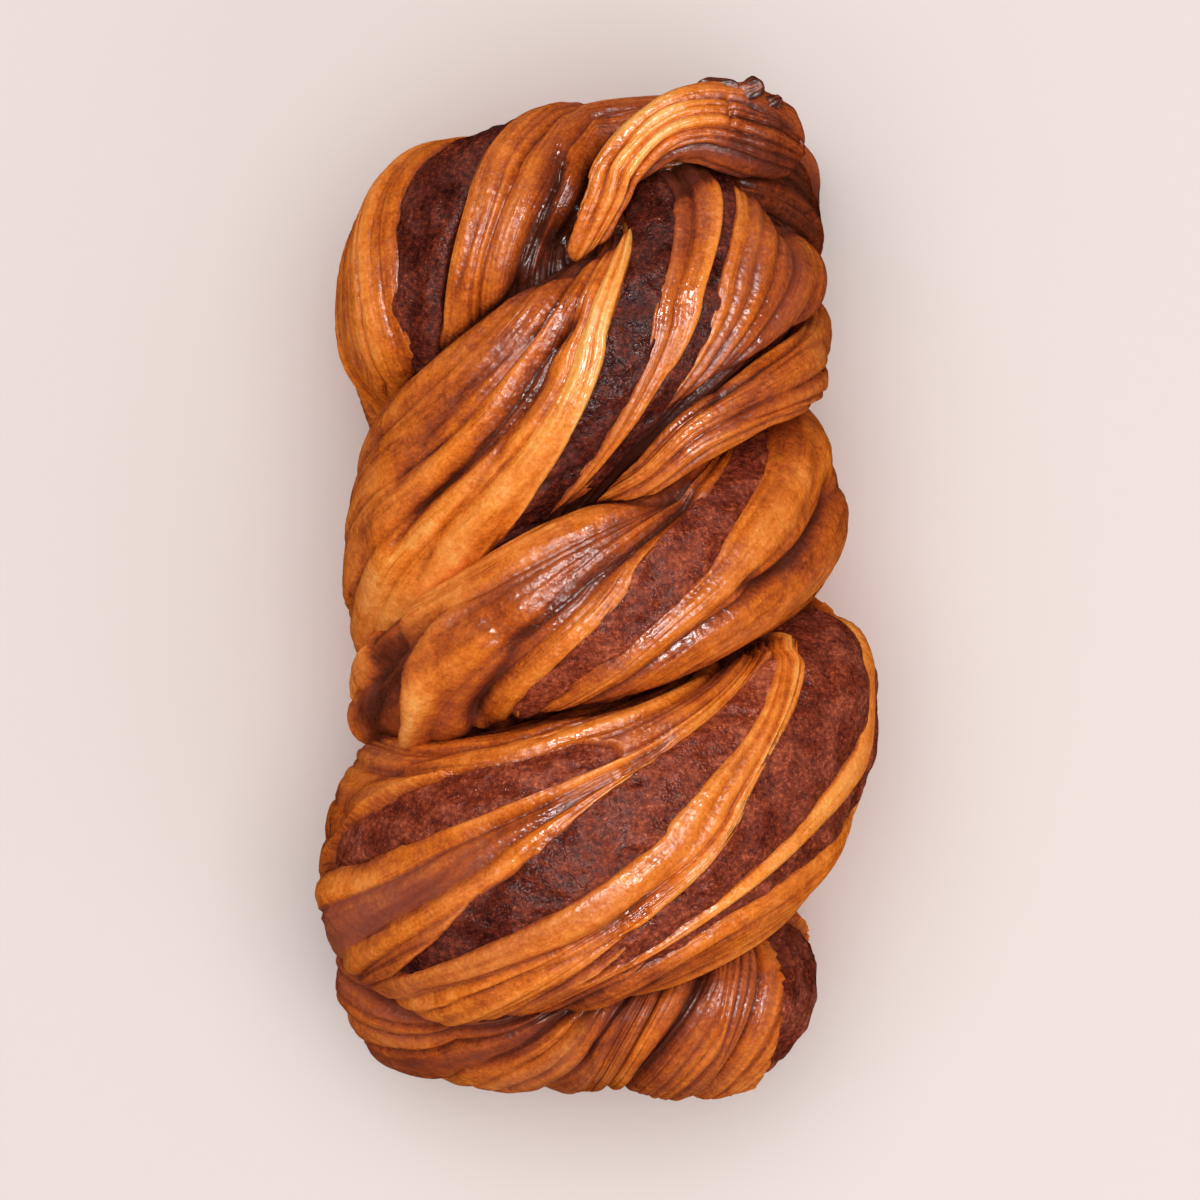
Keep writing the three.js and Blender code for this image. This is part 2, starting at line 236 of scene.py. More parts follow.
def crust_material():
    """Baked crust brushed with syrup, streaked along the strands, with painted highlight streaks, and stained
    where filling lies under it.
    """
    material = bpy.data.materials.new("baked crust")
    material.use_nodes = True
    tree = material.node_tree
    shader = tree.nodes["Principled BSDF"]
    place = tree.nodes.new("ShaderNodeTexCoord").outputs["Object"]
    band = streak_node(tree, *BAND_STREAK)
    fibre = math_node(tree, "SUBTRACT", streak_node(tree, *FIBRE_STREAK), 0.5)
    line = clamped(tree, "MULTIPLY", math_node(tree, "SUBTRACT", fibre, FIBRE_LIMIT), FIBRE_CONTRAST)
    # Pale streaks along the strands: painted highlights.
    gleam = clamped(tree, "MULTIPLY", math_node(tree, "ADD", fibre, FIBRE_LIMIT), -FIBRE_CONTRAST)
    hair = math_node(tree, "SUBTRACT", streak_node(tree, *HAIR_STREAK), 0.5 + HAIR_LIMIT)
    hair = clamped(tree, "MULTIPLY", hair, HAIR_CONTRAST)
    blotch = noise_node(tree, *BLOTCH_NOISE, place)
    mottle = noise_node(tree, *MOTTLE_NOISE, place)
    dimple = noise_node(tree, *DIMPLE_NOISE, place)
    pebble = noise_node(tree, *PEBBLE_NOISE, place)
    speck = noise_node(tree, *SPECK_NOISE, place)
    syrup = noise_node(tree, *SYRUP_NOISE, place)
    tone = uneven_tone(
        tree, (band, BAND_TONE), (blotch, BLOTCH_TONE), (mottle, MOTTLE_TONE), (pebble, PEBBLE_TONE),
        (speck, SPECK_TONE),
    )
    dry = clamped(tree, "MULTIPLY_ADD", blotch, DRY_CONTRAST, DRY_SHIFT)
    for texture, weight in ((line, LINE_TONE), (gleam, PAINTED_GLEAM_TONE), (hair, HAIR_TONE)):
        tone = math_node(tree, "MULTIPLY_ADD", math_node(tree, "MULTIPLY", texture, dry), weight, tone)
    stained = tree.nodes.new("ShaderNodeMix")
    stained.data_type = "RGBA"
    uneven = math_node(tree, "ADD", mottle, pebble)
    tree.links.new(math_node(tree, "MULTIPLY", mark_node(tree, "stain"), uneven), stained.inputs["Factor"])
    tree.links.new(toned(tree, CRUST_TONES, tone), stained.inputs["A"])
    stained.inputs["B"].default_value = STAIN_COLOUR
    tree.links.new(stained.outputs["Result"], shader.inputs["Base Color"])
    wet = clamped(tree, "MULTIPLY_ADD", syrup, WET_CONTRAST, WET_SHIFT)
    roughness = math_node(tree, "MULTIPLY_ADD", wet, WET_SMOOTHING, DRY_ROUGHNESS)
    tree.links.new(roughness, shader.inputs["Roughness"])
    shader.inputs["Specular IOR Level"].default_value = CRUST_SPECULAR
    shader.inputs["Subsurface Weight"].default_value = CRUST_GLOW
    shader.inputs["Subsurface Radius"].default_value = CRUST_GLOW_RADIUS
    shader.inputs["Subsurface Scale"].default_value = CRUST_GLOW_DEPTH * MM
    rough = math_node(tree, "MULTIPLY_ADD", pebble, PEBBLE_BUMP, dimple)
    rough = math_node(tree, "MULTIPLY_ADD", line, LINE_BUMP, rough)
    bumped(tree, shader, rough, CRUST_BUMP, CRUST_BUMP_DEPTH)
    return material


CRUST = crust_material()


def dough_piece(piece):
    """A piece of the one loaf of dough, in its crust."""
    piece.data.materials.append(CRUST)
    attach(piece, "root")
    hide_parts("dough")


mesh, share, turn = round_mesh("crumb", *CRUMB_MESH)
ring = rounded(np.sin(np.pi * share), CRUMB_CORNER)
crumb_points = np.stack([
    CRUMB_HALF_WIDTH * ring * rounded(np.sin(turn), CRUMB_CORNER),
    CRUMB_HALF_LENGTH * rounded(np.cos(np.pi * share), CRUMB_CORNER),
    CRUMB_MIDDLE + CRUMB_HEIGHT * ring * rounded(np.cos(turn), CRUMB_CORNER),
], axis=-1)
along_walls = crumb_points[:, 0] + crumb_points[:, 1]
folds = lattice(CRUMB_SEED, along_walls / CRUMB_FOLD_WIDTH, crumb_points[:, 2] / CRUMB_FOLD_HEIGHT) - 0.5
crumb_points *= (1 + CRUMB_UNEVEN * folds)[:, None]
dough_piece(placed(
    mesh, crumb_points, CRUMB_BASE, tone=CRUMB_TONE - CRUMB_TONE_RANGE * folds, stain=np.zeros(len(share)),
    lay=crumb_points[:, 2], run=crumb_points[:, 1],
))

# Strands
# Seven strands of the same dough, twisted over one another: four that arch over the loaf and three short
# ends. Each is a rolled sheet cut in half lengthways, so its layers lie open in long ridges and creases.
AXIS_HALF_LENGTH, AXIS_HEIGHT = 72.0, 34.0
ARCH_HEIGHT, ARCH_HALF_WIDTH, ARCH_RISE, ARCH_DROP = 40.0, 31.0, 26.0, 44.0
ARCH_START, ARCH_END, ARCH_OVER = -40.0, 220.0, 0.14
ARCH_STEEP, SIDE_SLANT = 0.25, 0.75
ARCH_MARKS = (10.0, 90.0, 170.0)
TIN_HALF_WIDTH, TIN_HALF_LENGTH, TIN_FLARE = 47.0, 104.0, 0.16
TIN_RIM, TIN_FADE, TIN_GIVE = 30.0, 12.0, 0.2
STRAND_CORNER, STRAND_BLUNTNESS = 2.3, 5.0
STRAND_BASE = 0.3
END_DIGITS = 9
FRAME_STEP = 0.001
COURSE_STEP = 0.01
LEAST_LAYER = 2.0
SPARE_LAYER = 30.0
LAYER_TONE, UNDER_FILLING_STAIN = 0.45, 0.3
SHORT_POINTS = (0.05, 0.05)
NEAR_SHAPE, FAR_SHAPE, POINT_SINK = 0.6, 1.0, 0.35
ARCHED_SPAN = (-ARCH_OVER, 1 + ARCH_OVER)
SHORT_SPAN = (0.0, 1.0)
NO_PARTING = (2.0, 3.0)


def hermite(s):
    """Weights of a curve's start, its slope there, its end and its slope there, at a share s along it."""
    return 2 * s**3 - 3 * s**2 + 1, s**3 - 2 * s**2 + s, 3 * s**2 - 2 * s**3, s**3 - s**2


def through(marks, values, t, carry=1.0):
    """Smooth line through values at marks, carried on straight past its ends at a share of its slope."""
    marks, values = np.asarray(marks, float), np.asarray(values, float)
    slopes = np.gradient(values, marks, edge_order=2)
    inside = np.clip(t, marks[0], marks[-1])
    k = np.clip(np.searchsorted(marks, inside) - 1, 0, len(marks) - 2)
    length = marks[k + 1] - marks[k]
    start, leave, end, arrive = hermite((inside - marks[k]) / length)
    curve = (
        start * values[k] + leave * length * slopes[k]
        + end * values[k + 1] + arrive * length * slopes[k + 1]
    )
    end_slope = np.where(t < marks[0], slopes[0], slopes[-1])
    return curve + carry * end_slope * (t - inside)


def smooth(low, high, value):
    """Gentle step from 0 at low to 1 at high."""
    return eased(np.clip((value - low) / (high - low), 0, 1))


def arched(y, half, depth, lift=(0.0, 0.0, 0.0)):
    """Course of a strand that arches over the loaf; rows give its right side, its crest and its left."""
    def course(u):
        angle = ARCH_START + (ARCH_END - ARCH_START) * u
        across, up = np.cos(np.radians(angle)), np.sin(np.radians(angle))
        spread = np.where(up > 0, across, np.sign(across) * np.abs(across) ** ARCH_STEEP)
        raised = through(ARCH_MARKS, lift, angle)
        middle = np.stack([
            (ARCH_HALF_WIDTH + raised) * spread,
            through(ARCH_MARKS, y, angle, SIDE_SLANT),
            ARCH_HEIGHT + np.where(up > 0, ARCH_RISE + raised, ARCH_DROP) * up,
        ], axis=-1)
        return middle, np.interp(angle, ARCH_MARKS, half), np.interp(angle, ARCH_MARKS, depth)
    return course


def laid_over(*rows):
    """Course of a short strand through rows of x, y, z, half width and half depth."""
    table = np.array(rows, float)
    ends = np.vstack([2 * table[0] - table[1], table, 2 * table[-1] - table[-2]])

    def course(u):
        place = np.clip(u, *SHORT_SPAN) * (len(table) - 1)
        k = np.minimum(place.astype(int), len(table) - 2)
        s = (place - k)[:, None]
        before, here, there, after = (ends[k + n] for n in range(4))
        start, leave, end, arrive = hermite(s)
        curve = (
            start * here + leave * (there - before) / 2
            + end * there + arrive * (after - here) / 2
        )
        sizes = here + (there - here) * s
        return curve[:, :3], sizes[:, 3], sizes[:, 4]
    return course


def directions(strand, u):
    """Middle and half sizes of a strand at u, with its outward and sideways directions and its speed."""
    middle, half, depth = strand["course"](u)
    start = np.clip(u, strand["span"][0], strand["span"][1] - FRAME_STEP)
    along = strand["course"](start + FRAME_STEP)[0] - strand["course"](start)[0]
    speed = np.linalg.norm(along, axis=-1) / FRAME_STEP
    along /= np.linalg.norm(along, axis=-1, keepdims=True)
    nearest = np.zeros_like(middle)
    nearest[:, 1] = np.clip(middle[:, 1], -AXIS_HALF_LENGTH, AXIS_HALF_LENGTH)
    nearest[:, 2] = AXIS_HEIGHT
    out = middle - nearest
    out -= np.sum(out * along, axis=-1, keepdims=True) * along
    out /= np.linalg.norm(out, axis=-1, keepdims=True)
    tilt = math.radians(strand["tilt"])
    out = out * math.cos(tilt) + np.cross(along, out) * math.sin(tilt)
    return middle, half, depth, out, np.cross(along, out), speed


def pressed(points):
    """The tin held back what bulged past its flared walls, below its rim."""
    points = points.copy()
    hold = 1 - smooth(TIN_RIM - TIN_FADE, TIN_RIM + TIN_FADE, points[:, 2])
    flare = TIN_FLARE * np.maximum(points[:, 2], 0)
    for axis, reach in ((0, TIN_HALF_WIDTH), (1, TIN_HALF_LENGTH)):
        excess = np.maximum(np.abs(points[:, axis]) - reach - flare, 0)
        points[:, axis] -= np.sign(points[:, axis]) * excess * hold * (1 - TIN_GIVE)
    return points


def blunted(share, bluntness):
    """Size of a form along it, from 0 at either end to 1 over its middle."""
    reach = np.round(np.abs(2 * share - 1), END_DIGITS)
    return (1 - reach**bluntness) ** (1 / bluntness)


def skin(strand, u, angle, height):
    """Points of a strand's skin at u along it and angle round it, raised by height."""
    middle, half, depth, out, side, _ = directions(strand, u)
    low, high = strand["span"]
    end = blunted((u - low) / (high - low), STRAND_BLUNTNESS)[:, None]
    sideways = rounded(np.sin(np.radians(angle)), STRAND_CORNER)[:, None]
    outwards = rounded(np.cos(np.radians(angle)), STRAND_CORNER)[:, None]
    for swell_u, swell_angle, reach_u, reach_angle, amount in strand["swells"]:
        away = ((u - swell_u) / reach_u) ** 2 + ((angle - swell_angle) / reach_angle) ** 2
        height = height + amount * np.exp(-away)
    wide, deep = (half + height)[:, None], (depth + height)[:, None]
    return pressed(middle + end * (wide * sideways * side + deep * outwards * out))


def layer_edges(strand, u):
    """Angles of the edges between a strand's layers at u, each past the one before."""
    edges = []
    for layer in strand["layers"]:
        edge = through(strand["stations"], layer["edge"], np.clip(u, *strand["turning"]))
        for twist_start, twist_end, turned in strand["twists"]:
            edge = edge + turned * (1 - smooth(twist_start, twist_end, u))
        edges.append(np.maximum(edge, edges[-1] + LEAST_LAYER) if edges else edge)
    return np.stack(edges, axis=-1)


def layer_widths(strand):
    """Widths of a strand's layers in millimetres, with a row for each of its stations."""
    marks = np.array(strand["stations"])
    half = strand["course"](marks)[1]
    return np.radians(np.diff(layer_edges(strand, marks), axis=1)) * half[:, None]


def dough(*edge, tone=LAYER_TONE, stain=0.0):
    """A layer of dough: its lower edge round the strand, its tone and its stain, at the strand's stations."""
    tone, stain = (np.broadcast_to(value, len(edge)) for value in (tone, stain))
    return {"edge": edge, "tone": tone, "stain": stain, "node": None}


def filling(*edge, node, stretch, tone, points=SHORT_POINTS, lean=0.0):
    """A layer of filling that lies open on a stretch of the strand and narrows over its two points."""
    layer = dough(*edge, stain=UNDER_FILLING_STAIN)
    layer.update(node=node, stretch=stretch, filling_tone=tone, points=points, lean=lean)
    return layer


def opening(strand, k, u):
    """Middle angle and half width in degrees of the open filling in layer k, and how far it shows."""
    layer, edges = strand["layers"][k], layer_edges(strand, u)
    (first, final), (near, far) = layer["stretch"], layer["points"]
    near_share, far_share = np.clip((u - first) / near, 0, 1), np.clip((final - u) / far, 0, 1)
    full_half = (edges[:, k + 1] - edges[:, k]) / 2
    open_half = full_half * near_share**NEAR_SHAPE * far_share**FAR_SHAPE
    middle = (edges[:, k] + edges[:, k + 1]) / 2 + layer["lean"] * (full_half - open_half)
    return middle, open_half, smooth(0, POINT_SINK, near_share) * smooth(0, POINT_SINK, far_share)


# Along a strand u goes from 0 to 1, and round it an angle of 0 faces out of the loaf. Its layers are given at
# three stations along it. Their edges turn only within its turning, and its seam with the other strands ends
# at its parting. A swell has a place, a reach both ways and a height, and a twist a start, an end and a turn.
# A crease has a depth, a width and a line of u and angle. A hook, which is a fold across the strand, has a
# depth and a line of angle and u. The mesh follows the layers from the first to the last in its flow, and
# the rest of its flow is the share that its back takes.
PLAIN_STRAND = {
    "tilt": 0.0, "turning": ARCHED_SPAN, "parting": NO_PARTING,
    "swells": (), "twists": (), "hooks": (), "creases": (),
}
STRANDS = (
    {
        **PLAIN_STRAND,
        "name": "head", "seed": 100, "span": ARCHED_SPAN, "mesh": (260, 300),
        "course": arched((84, 86.5, 67), (17, 20, 28), (22, 17, 25), (-2, -6, 0)),
        "flow": (0, 6, 0.35), "stations": (0.5, 0.65, 0.8), "turning": (0.48, 1.2),
        "layers": (
            dough(-60, -140, -210, tone=(0.38, 0.5, 0.55)),
            dough(-12, -100, -170, tone=0.5),
            dough(20, -60, -130, tone=(0.52, 0.48, 0.45), stain=(0.4, 0.2, 0.1)),
            dough(50, -30, -95, tone=(0.45, 0.42, 0.42), stain=(0.2, 0.1, 0.1)),
            filling(100, 0, -65, node="filling_1", stretch=(0.50, 0.85), tone=(0.26, 0.30)),
            dough(200, 85, -53, tone=0.44),
            dough(280, 175, 25, tone=0.44),
            dough(360, 260, 100),
        ),
        "swells": ((0.585, -58, 0.035, 22, -6.0), (0.39, -36, 0.09, 42, -12.0), (0.9, -55, 0.06, 25, -3.0)),
        "creases": (
            (4.0, 1.4, ((0.45, 10), (0.5, -12), (0.52, -30), (0.55, -50), (0.57, -70))),
            (2.6, 1.3, ((0.55, -10), (0.6, -40), (0.65, -60), (0.7, -68))),
            (0.9, 0.8, ((0.65, -15), (0.7, -35), (0.75, -52), (0.8, -68))),
        ),
    },
    {
        **PLAIN_STRAND,
        "name": "upper", "seed": 200, "span": ARCHED_SPAN, "tilt": 8.0, "mesh": (280, 320),
        "course": arched((76, 48, 10), (19, 24, 25), (24, 24, 24), (0, 0, 1.5)),
        "flow": (0, 14, 0.35), "stations": (0.3, 0.5, 0.7), "parting": (0.66, 0.73),
        "layers": (
            dough(-70, -112, -150, tone=(0.6, 0.6, 0.54), stain=(0.3, 0.3, 0.2)),
            dough(-38, -90, -130, tone=(0.58, 0.58, 0.54), stain=(0.5, 0.5, 0.3)),
            dough(-12, -76, -120, tone=(0.55, 0.55, 0.5), stain=(0.5, 0.4, 0.2)),
            dough(4, -71, -116, tone=(0.52, 0.52, 0.48), stain=(0.3, 0.3, 0.1)),
            dough(18, -65, -111, tone=(0.5, 0.48, 0.42), stain=(0.4, 0.2, 0.0)),
            dough(30, -60, -108, tone=(0.46, 0.46, 0.42), stain=(0.2, 0.1, 0.0)),
            filling(41, -56, -104, node="filling_2", stretch=(0.22, 0.6), tone=(0.2, 0.2)),
            dough(50, -48, -98, tone=(0.46, 0.44, 0.5), stain=(0.3, 0.1, 0.0)),
            dough(74, -40, -95, tone=(0.48, 0.48, 0.5), stain=(0.5, 0.3, 0.0)),
            filling(93, -33, -92, node="filling_3", stretch=(0.28, 0.74), tone=(0.2, 0.22)),
            dough(132, -10, -78, tone=(0.15, 0.12, 0.28)),
            dough(145, 6, -46, tone=(0.34, 0.32, 0.32), stain=(0.1, 0.1, 0.0)),
            dough(156, 17, -27, tone=(0.4, 0.38, 0.36)),
            dough(168, 32, -5, tone=0.42, stain=(0.2, 0.2, 0.1)),
            dough(185, 54, 22, tone=(0.5, 0.5, 0.46), stain=0.2),
        ),
        "swells": (
            (0.31, 100, 0.08, 50, 9.0), (0.285, 80, 0.04, 20, 3.0), (0.235, 20, 0.035, 24, -7.0),
            (0.16, -5, 0.06, 45, -8.0),
        ),
        "creases": (
            (4.4, 1.3, ((0.5, 15), (0.55, 2), (0.6, -12), (0.65, -22), (0.7, -27), (0.74, -31))),
            (1.5, 1.1, ((0.55, -5), (0.6, -20), (0.65, -35), (0.7, -45), (0.76, -56))),
            (1.3, 1.0, ((0.47, 42), (0.5, 30), (0.55, 18), (0.6, 10), (0.65, 2), (0.7, -5))),
        ),
    },
    {
        **PLAIN_STRAND,
        "name": "middle", "seed": 300, "span": ARCHED_SPAN, "tilt": 12.0, "mesh": (280, 300),
        "course": arched((17, -4, -24), (22, 22, 13), (24, 24, 24)),
        "flow": (0, 7, 0.35), "stations": (0.25, 0.45, 0.65),
        "layers": (
            dough(-95, -130, -170, tone=0.46),
            dough(-52, -90, -140, tone=0.5, stain=0.2),
            dough(-8, -48, -115, tone=(0.44, 0.48, 0.5), stain=(0.1, 0.2, 0.2)),
            filling(38, -25, -96, node="filling_4", stretch=(0.12, 0.66), tone=(0.40, 0.57)),
            dough(58, 0, -84, tone=(0.48, 0.40, 0.4)),
            dough(65, 13, -59, tone=(0.4, 0.42, 0.46), stain=(0.0, 0.2, 0.3)),
            dough(70, 32, 8, tone=(0.38, 0.34, 0.28), stain=(0.0, 0.1, 0.1)),
            dough(95, 70, 60, tone=0.5),
        ),
        "swells": ((0.8, -45, 0.08, 32, 3.5),),
        "hooks": ((4.0, ((-62, 0.77), (-50, 0.73), (-30, 0.70), (-10, 0.68), (3, 0.65), (8, 0.64))),),
        "creases": (
            (4.0, 1.4, ((0.37, 33), (0.4, 25), (0.45, 12), (0.5, 2), (0.55, -12), (0.58, -22), (0.6, -35),
                        (0.63, -50), (0.67, -68))),
            (2.6, 1.6, ((0.2, 2), (0.25, -8), (0.3, -18), (0.35, -22))),
        ),
    },
    {
        **PLAIN_STRAND,
        "name": "broad", "seed": 400, "span": ARCHED_SPAN, "tilt": 8.0, "mesh": (280, 340),
        "course": arched((-36, -57, -64), (29, 32, 31), (27, 26, 28), (1.5, 0, 2)),
        "flow": (0, 13, 0.35), "stations": (0.2, 0.45, 0.7),
        "layers": (
            dough(-66, -78, -165, tone=(0.42, 0.45, 0.5)),
            filling(-38, -52, -138, node="filling_5", stretch=(0.08, 0.52), tone=(0.42, 0.42)),
            dough(-15, -47, -117, tone=(0.30, 0.32, 0.4)),
            filling(
                0, -42, -111, node="filling_6", stretch=(0.05, 0.56), tone=(0.42, 0.46), points=(0.06, 0.08),
            ),
            dough(42, -28, -100, tone=(0.26, 0.28, 0.42)),
            dough(49, -20, -60, tone=(0.28, 0.30, 0.45), stain=(0.0, 0.1, 0.4)),
            filling(
                55, -4, -45, node="filling_7", stretch=(0.2, 0.75), tone=(0.66, 0.15), points=(0.05, 0.13),
                lean=-1.0,
            ),
            dough(60, 19, -30, tone=(0.3, 0.3, 0.36), stain=(0.0, 0.0, 0.1)),
            dough(61, 23, -19, tone=(0.3, 0.34, 0.46), stain=(0.0, 0.1, 0.8)),
            dough(63, 27, -4, tone=(0.25, 0.24, 0.3), stain=(0.0, 0.0, 0.1)),
            filling(
                66, 31, 6, node="filling_8", stretch=(0.43, 0.85), tone=(0.53, 0.44), points=(0.05, 0.22),
                lean=-1.0,
            ),
            dough(80, 46, 37, tone=(0.3, 0.2, 0.5), stain=(0.0, 0.0, 0.7)),
            dough(92, 60, 50, tone=(0.35, 0.3, 0.42), stain=(0.0, 0.0, 0.3)),
            dough(104, 76, 64, tone=(0.45, 0.4, 0.5)),
        ),
        "swells": (
            (0.15, 25, 0.1, 38, 7.5), (0.15, -60, 0.1, 30, -2.0), (0.84, 80, 0.1, 36, 10.0),
            (0.8, -13, 0.04, 11, 3.0),
        ),
        "twists": ((0.12, 0.21, 32.0),),
        "creases": (
            (1.4, 1.1, ((0.4, 32), (0.5, 17), (0.6, 3), (0.7, -15), (0.75, -25))),
            (1.6, 1.2, ((0.45, -22), (0.5, -32), (0.6, -45), (0.7, -56))),
            (1.6, 1.2, ((0.6, 20), (0.7, 8), (0.75, 3))),
            (1.2, 0.9, ((0.58, 52), (0.65, 47), (0.7, 42), (0.78, 26))),
            (1.0, 0.8, ((0.66, -8), (0.72, -18), (0.8, -30))),
            (1.0, 0.8, ((0.5, -38), (0.6, -52), (0.66, -60))),
        ),
    },
    {
        **PLAIN_STRAND,
        "name": "tuck", "seed": 500, "span": SHORT_SPAN, "mesh": (220, 220),
        "course": laid_over(
            (-4.5, 71, 73.5, 6, 6), (1.5, 82, 75, 5.8, 6.5), (5.5, 90, 75.5, 6.2, 7),
            (12.5, 97, 75.5, 7, 7.5), (21, 100, 74, 8, 8), (31.5, 99, 69, 10.5, 9.5), (41.5, 96, 59, 10, 10),
        ),
        "flow": (0, 4, 0.35), "stations": (0.3, 0.7, 0.8),
        "layers": (
            dough(-60, -56, -50, tone=(0.3, 0.5, 0.78), stain=(0.0, 0.3, 0.15)),
            dough(-14, -12, -2, tone=(0.26, 0.36, 0.76), stain=(0.0, 0.0, 0.15)),
            dough(16, 12, 16, tone=(0.24, 0.36, 0.76), stain=(0.0, 0.1, 0.15)),
            dough(44, 36, 38, tone=(0.34, 0.48, 0.78), stain=(0.1, 0.2, 0.15)),
            # The last layer is darker than the rest near the start: painted shade on that side. All layers
            # darken towards the burnt end.
            dough(76, 68, 70, tone=(0.5, 0.7, 0.82), stain=(0.2, 0.3, 0.15)),
        ),
        "swells": (
            (0.745, 10, 0.006, 22, -1.4), (0.8, -25, 0.025, 16, 1.0), (0.86, 15, 0.03, 18, 0.9),
            (0.92, -10, 0.025, 20, 1.0), (0.83, 45, 0.025, 14, 0.8), (0.78, 30, 0.015, 12, -0.8),
            (0.88, -50, 0.025, 18, 0.9), (0.89, 50, 0.015, 12, -0.9),
        ),
    },
    {
        **PLAIN_STRAND,
        "name": "ply", "seed": 600, "span": SHORT_SPAN, "mesh": (200, 180),
        "course": laid_over(
            (38, 62, -4, 13, 9), (43, 56, 34, 12, 9), (41, 48, 60, 9.5, 9), (32, 41, 72, 7.5, 9),
            (20, 33, 77, 6.5, 8), (10, 24, 74, 5, 8), (-1, 17, 66, 4, 6),
        ),
        "flow": (0, 2, 0.35), "stations": (0.3, 0.5, 0.7),
        "layers": (
            dough(-60, -40, -30, tone=(0.52, 0.5, 0.46), stain=0.2),
            dough(-10, 0, 5, tone=(0.5, 0.48, 0.45), stain=(0.2, 0.2, 0.1)),
            dough(50, 50, 50, tone=(0.5, 0.45, 0.4)),
        ),
    },
    {
        **PLAIN_STRAND,
        "name": "foot", "seed": 700, "span": SHORT_SPAN, "mesh": (260, 370),
        "course": laid_over(
            (-34, -72, 2, 22, 20), (-43, -86, 28, 20, 17), (-25, -93, 38, 24, 17), (0, -92.5, 39, 25, 17),
            (21, -93, 39, 23.5, 18), (32.5, -90.5, 30, 18, 18), (28, -78, 2, 21, 20),
        ),
        "flow": (0, 6, 1.0), "stations": (0.4, 0.5, 0.6), "turning": (0.0, 0.76),
        "layers": (
            dough(-71, -102, -135, tone=(0.46, 0.44, 0.44), stain=0.5),
            dough(-63, -98, -131, tone=(0.5, 0.48, 0.46), stain=0.4),
            dough(-45, -93, -128, tone=(0.5, 0.49, 0.48), stain=0.5),
            dough(-26, -81, -121, tone=(0.38, 0.4, 0.4), stain=(0.5, 0.6, 0.6)),
            dough(15, -44, -115, tone=(0.42, 0.44, 0.46), stain=0.6),
            dough(150, 33, -80, tone=(0.44, 0.44, 0.42), stain=0.2),
            dough(165, 59, -39, tone=(0.54, 0.54, 0.52), stain=0.4),
            dough(340, 240, 115, stain=0.3),
            filling(
                350, 250, 120, node="filling_9", stretch=(0.755, 0.93), tone=(0.41, 0.41),
                points=(0.03, 0.06),
            ),
            dough(510, 410, 280, tone=0.48),
        ),
        "creases": (
            (2.6, 1.3, ((0.372, -28), (0.394, -40), (0.427, -63), (0.467, -79), (0.492, -90))),
            (1.4, 1.0, ((0.439, -10), (0.501, -45), (0.553, -77), (0.561, -92))),
            (2.4, 1.3, ((0.588, -28), (0.613, -50), (0.634, -71), (0.648, -87))),
            (1.4, 1.0, ((0.225, -54), (0.252, -48), (0.312, -66), (0.377, -73))),
        ),
    },
)
ROOM_STEPS = 140
FLOW_PAST, FLOW_LIMIT = 0.25, 330.0
SEAM_SHARE, SEAM_DEPTH, SEAM_PAINTED_SHADE = 0.075, 2.4, 0.46
RIDGE_SHARE, RIDGE_LIMIT, RIDGE_ROUNDNESS = 0.12, 2.8, 0.6
SIDE_FLATNESS, SIDE_FROM = 0.6, (0.7, 0.85)
LUMP_SEED, LUMP_SIZE, LUMP_HEIGHT = 5, 16.0, 1.2
TONE_SEED, TONE_WIDTH, TONE_LENGTH, TONE_UNEVEN = 6, 7.0, 40.0, 0.25
STAIN_SEED, STAIN_WIDTH, STAIN_LENGTH, STAIN_LEAST, STAIN_FROM = 7, 3.5, 60.0, 0.3, (0.3, 0.7)
EDGE_SEED, EDGE_WIDTH, EDGE_LENGTH, EDGE_LEAST = 1, 9.0, 24.0, 0.3
EDGE_CREASE_DEPTH, EDGE_CREASE_WIDTH, EDGE_CREASE_PAINTED_SHADE = 1.2, 0.7, 0.38
WAVER_SEED, WAVER_WIDTH, WAVER_LENGTH, WAVER = 9, 14.0, 17.0, 2.0
LAMINAE_SEED, LAMINAE_SHADE_LEVEL = 2, 0.2
# Each row of laminae: fineness across and along, sharpness, depth, and the painted shade in their valleys.
LAMINAE = ((7.0, 50.0, 6, 1.0, 0.22), (3.2, 30.0, 4, 0.45, 0.07), (1.3, 14.0, 3, 0.22, 0.05))
SWAY_SEED, SWAY_LENGTH, SWAY_WIDTH, SWAY = 8, 11.0, 40.0, 1.2
CREASE_PAINTED_SHADE, CREASE_PAINTED_SHADE_LIMIT, CREASE_FADE = 0.2, 0.6, 0.03
CREASE_SHARPNESS, DALE_SHARE = 0.6, 4.0
RAGGED_SEED, RAGGED_WIDTH, RAGGED_LENGTH, RAGGED_SIDES, RAGGED = 30, 60.0, 5.5, 7.5, 0.8
GROOVE_DEPTH, GROOVE_WALL, GROOVE_PAINTED_SHADE = 3.2, 1.2, 0.85
LIP_HEIGHT, LIP_WIDTH, LIP_TONE = 0.5, 1.3, 0.2
HOOK_FADE, HOOK_WALL, HOOK_REACH, HOOK_PAINTED_SHADE = 10.0, 2.2, 26.0, 0.32


def room(strand, points):
    """Distance in millimetres from points of one strand to the nearest other strand, less inside it."""
    nearest = np.full(len(points), np.inf)
    for other in STRANDS:
        if other is strand:
            continue
        u = np.linspace(*other["span"], ROOM_STEPS)
        middle, half, depth, out, side, _ = directions(other, u)
        apart = np.sum(middle**2, axis=1) - 2 * points @ middle.T
        k = np.argmin(apart, axis=1)
        offset = points - middle[k]
        across = np.sum(offset * side[k], axis=1) / half[k]
        outward = np.sum(offset * out[k], axis=1) / depth[k]
        nearest = np.minimum(nearest, (np.hypot(across, outward) - 1) * np.minimum(half, depth)[k])
    return nearest


def fade(start, end, reach, value):
    """One from start to end and nothing at a reach past them."""
    return smooth(start - reach, start, value) * (1 - smooth(end, end + reach, value))


